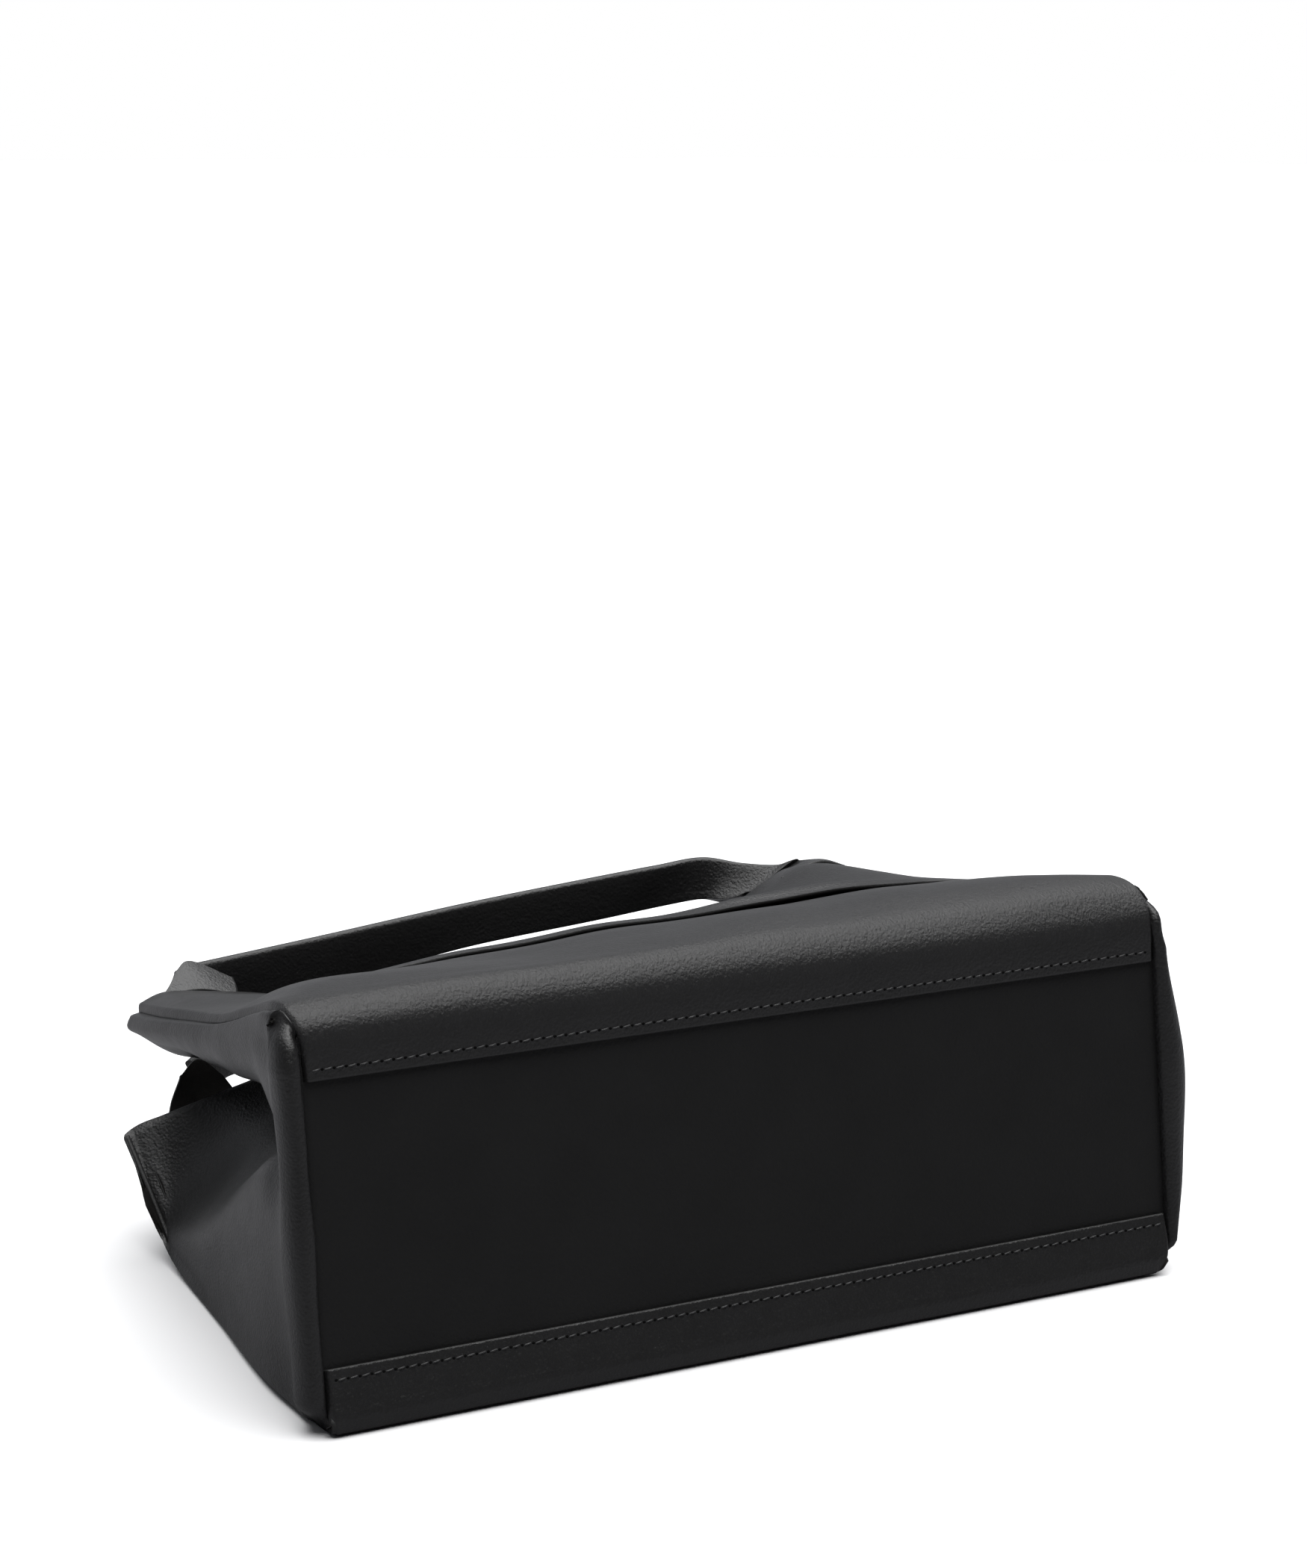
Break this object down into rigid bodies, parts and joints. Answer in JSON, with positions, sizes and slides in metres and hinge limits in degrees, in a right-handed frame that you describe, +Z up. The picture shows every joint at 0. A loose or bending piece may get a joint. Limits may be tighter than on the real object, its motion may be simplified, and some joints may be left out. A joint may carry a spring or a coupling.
{
  "type": "doctor bag",
  "caption": "Frameless soft leather doctor bag lying on its back panel, with a flat base between two stitched laps, folded end gussets, an outside slot pocket and strap handles.",
  "frame": {"origin": "middle of the flat part of the back panel, on the surface that the bag lies on", "axes": "+X along the bag from its left end to its right end, +Y from the base to the mouth, +Z up, away from the surface that the bag lies on"},
  "size_m": [0.3938, 0.3065, 0.1624],
  "materials": {
    "panel_leather": "smooth black leather, soft sheen",
    "base_leather": "matte near-black leather",
    "flesh_leather": "napped dark flesh side",
    "fibre_board": "pressed leather board, matte",
    "strap_felt": "dense dark felt",
    "snap_metal": "antique plated, satin"
  },
  "bodies": {
    "shell": {"base_panel": "base_leather", "base_board": "fibre_board", "base_cover": "flesh_leather", "back_panel": "panel_leather", "back_mouth_facing": "flesh_leather", "left_gusset": "panel_leather", "left_gusset_facing": "flesh_leather", "right_gusset": "panel_leather", "right_gusset_facing": "flesh_leather", "back_patch_left": "flesh_leather", "back_patch_right": "flesh_leather", "snap_socket": "snap_metal", "snap_socket_washer": "snap_metal"},
    "front_wall": {"front_panel": "panel_leather", "front_pocket_backing": "flesh_leather", "front_mouth_facing": "flesh_leather", "front_patch_left": "flesh_leather", "front_patch_right": "flesh_leather", "snap_stud": "snap_metal", "snap_stud_washer": "snap_metal"},
    "front_strap": {"front_handle": "panel_leather", "front_handle_core": "strap_felt"},
    "back_strap": {"back_handle": "panel_leather", "back_handle_core": "strap_felt"}
  },
  "joints": [
    {"name": "mouth_open", "type": "hinge", "parent": "shell", "child": "front_wall", "pos_m": [0, -0.084, 0.13], "axis": [1, 0, 0], "range_deg": [0, 20], "deforming": ["left_gusset", "left_gusset_facing", "right_gusset", "right_gusset_facing"]},
    {"name": "front_handle_swing", "type": "hinge", "parent": "front_wall", "child": "front_strap", "pos_m": [0, 0.1568, 0.1115], "axis": [0.9848, -0.1339, 0.1103], "range_deg": [-40, 50]},
    {"name": "back_handle_swing", "type": "hinge", "parent": "shell", "child": "back_strap", "pos_m": [0, 0.172, 0.066], "axis": [1, 0, 0], "range_deg": [-50, 45]}
  ]
}
